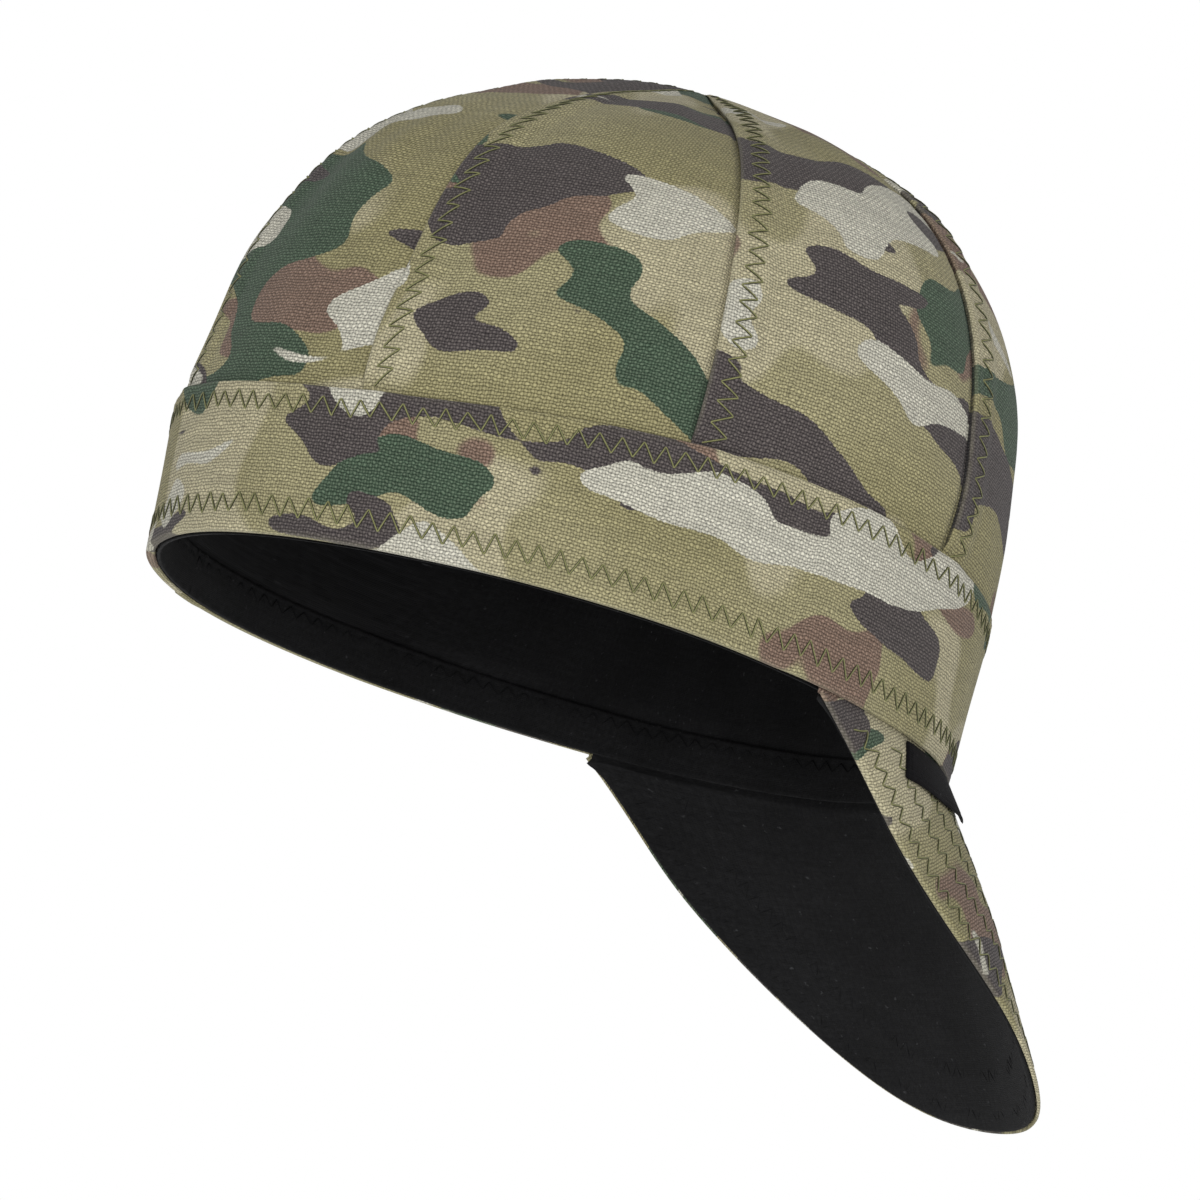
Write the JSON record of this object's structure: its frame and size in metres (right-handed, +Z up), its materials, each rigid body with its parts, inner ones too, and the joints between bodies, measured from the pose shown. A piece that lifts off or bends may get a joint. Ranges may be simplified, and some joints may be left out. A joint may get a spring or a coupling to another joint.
{
  "type": "welding cap",
  "caption": "Welder's cloth cap with a domed panelled crown in camouflage canvas, a stitched headband, a short soft bill, a dark lining and a small bare label tab",
  "frame": {"origin": "the middle of the rim's oval at the headband's lower edge, where a head goes in", "axes": "+Z up to the crown's point, -Y forward to the bill, -X the wearer's right"},
  "size_m": [0.1632, 0.2551, 0.2348],
  "materials": {
    "camouflage_canvas": "matt printed cotton canvas in khaki, bone, charcoal brown, green and dusty red-brown",
    "black_cotton": "matt black cotton",
    "label_cloth": "woven black label tape, bare"
  },
  "bodies": {
    "root": {"crown_panel_1": "camouflage_canvas", "crown_panel_2": "camouflage_canvas", "crown_panel_3": "camouflage_canvas", "crown_panel_4": "camouflage_canvas", "crown_panel_5": "camouflage_canvas", "crown_panel_6": "camouflage_canvas", "crown_panel_7": "camouflage_canvas", "crown_panel_8": "camouflage_canvas", "headband": "camouflage_canvas", "crown_lining": "black_cotton", "rim_hem": "black_cotton", "bill_upper": "camouflage_canvas", "bill_under": "black_cotton", "label_tab": "label_cloth"}
  },
  "joints": []
}
